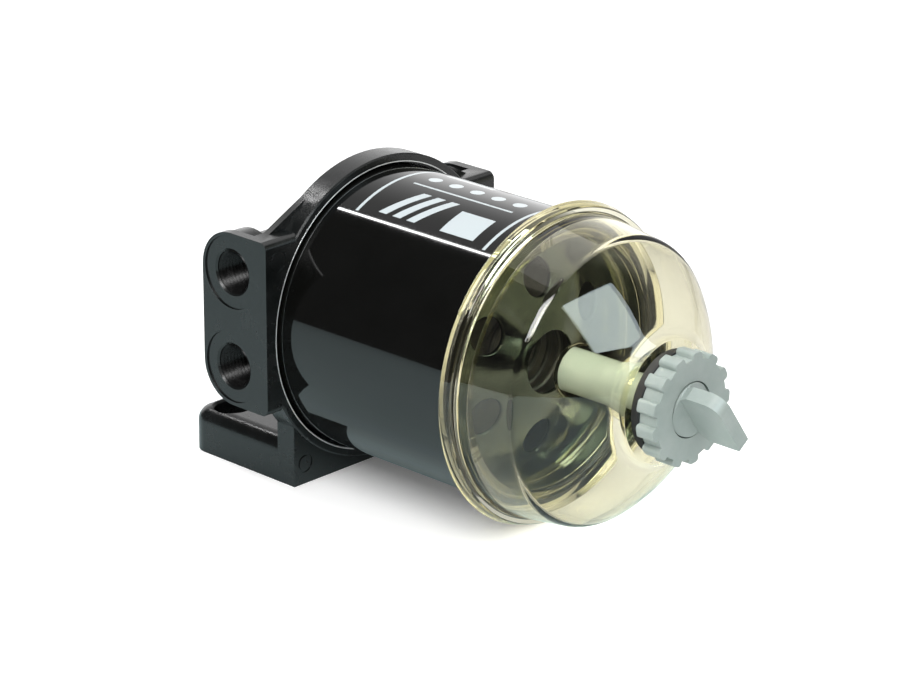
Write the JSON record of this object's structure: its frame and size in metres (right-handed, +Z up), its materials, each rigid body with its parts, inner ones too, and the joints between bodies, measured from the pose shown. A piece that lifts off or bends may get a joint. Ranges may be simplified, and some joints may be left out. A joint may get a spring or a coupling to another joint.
{
  "type": "fuel water separator",
  "caption": "Spin-on fuel filter and water separator: cast port head on a slotted foot, black steel canister, clear bowl and a hand drain valve.",
  "frame": {"origin": "on the mounting face of the foot, midway between the two mounting slots", "axes": "+X along the filter from the head towards the drain, +Z up from the mounting face"},
  "size_m": [0.1952, 0.1036, 0.1037],
  "materials": {
    "cast_black": "satin black coating on cast aluminium",
    "can_black": "gloss black paint on steel",
    "zinc": "zinc plated",
    "dark_steel": "dark phosphate coating",
    "seal": "matt",
    "media": "resin treated filter paper",
    "bowl_amber": "clear, slightly amber plastic",
    "drain_grey": "light grey moulded plastic"
  },
  "bodies": {
    "head": {"head_casting": "cast_black", "center_stud": "zinc"},
    "canister_screw": {"head_gasket": "seal"},
    "canister": {"canister_shell": "can_black", "thread_plate": "zinc", "stud_seal": "seal", "top_end_cap": "zinc", "pleated_media": "media", "center_tube": "zinc", "bottom_end_cap": "zinc", "support_spring": "zinc", "base_plate": "dark_steel", "bowl_thread_ring": "dark_steel"},
    "bowl_screw": {"bowl_oring": "seal"},
    "bowl": {"clear_bowl": "bowl_amber"},
    "wheel_screw": {"drain_gasket": "seal"},
    "wheel": {"drain_wheel": "drain_grey"},
    "valve_screw": {"drain_tip_seal": "seal"},
    "valve": {"drain_knob": "drain_grey", "spindle_oring": "seal"}
  },
  "joints": [
    {"name": "canister_out", "type": "slide", "parent": "head", "child": "canister_screw", "axis": [1, 0, 0], "range_m": [0, 0.0096]},
    {"name": "canister_turn", "type": "hinge", "parent": "canister_screw", "child": "canister", "pos_m": [0.04, 0, 0.052], "axis": [1, 0, 0], "range_deg": [0, 2160]},
    {"name": "bowl_out", "type": "slide", "parent": "canister", "child": "bowl_screw", "axis": [1, 0, 0], "range_m": [0, 0.0051]},
    {"name": "bowl_turn", "type": "hinge", "parent": "bowl_screw", "child": "bowl", "pos_m": [0.12, 0, 0.052], "axis": [1, 0, 0], "range_deg": [0, 900]},
    {"name": "wheel_out", "type": "slide", "parent": "bowl", "child": "wheel_screw", "axis": [1, 0, 0], "range_m": [0, 0.0121]},
    {"name": "wheel_turn", "type": "hinge", "parent": "wheel_screw", "child": "wheel", "pos_m": [0.16, 0, 0.052], "axis": [1, 0, 0], "range_deg": [0, 2160]},
    {"name": "valve_out", "type": "slide", "parent": "wheel", "child": "valve_screw", "axis": [1, 0, 0], "range_m": [0, 0.0031]},
    {"name": "valve_turn", "type": "hinge", "parent": "valve_screw", "child": "valve", "pos_m": [0.165, 0, 0.052], "axis": [1, 0, 0], "range_deg": [0, 720]}
  ],
  "couplings": [
    {"joint": "canister_out", "follows": "canister_turn", "m_per_rad": 0.00025266},
    {"joint": "bowl_out", "follows": "bowl_turn", "m_per_rad": 0.00031831},
    {"joint": "wheel_out", "follows": "wheel_turn", "m_per_rad": 0.00031831},
    {"joint": "valve_out", "follows": "valve_turn", "m_per_rad": 0.00023873}
  ]
}
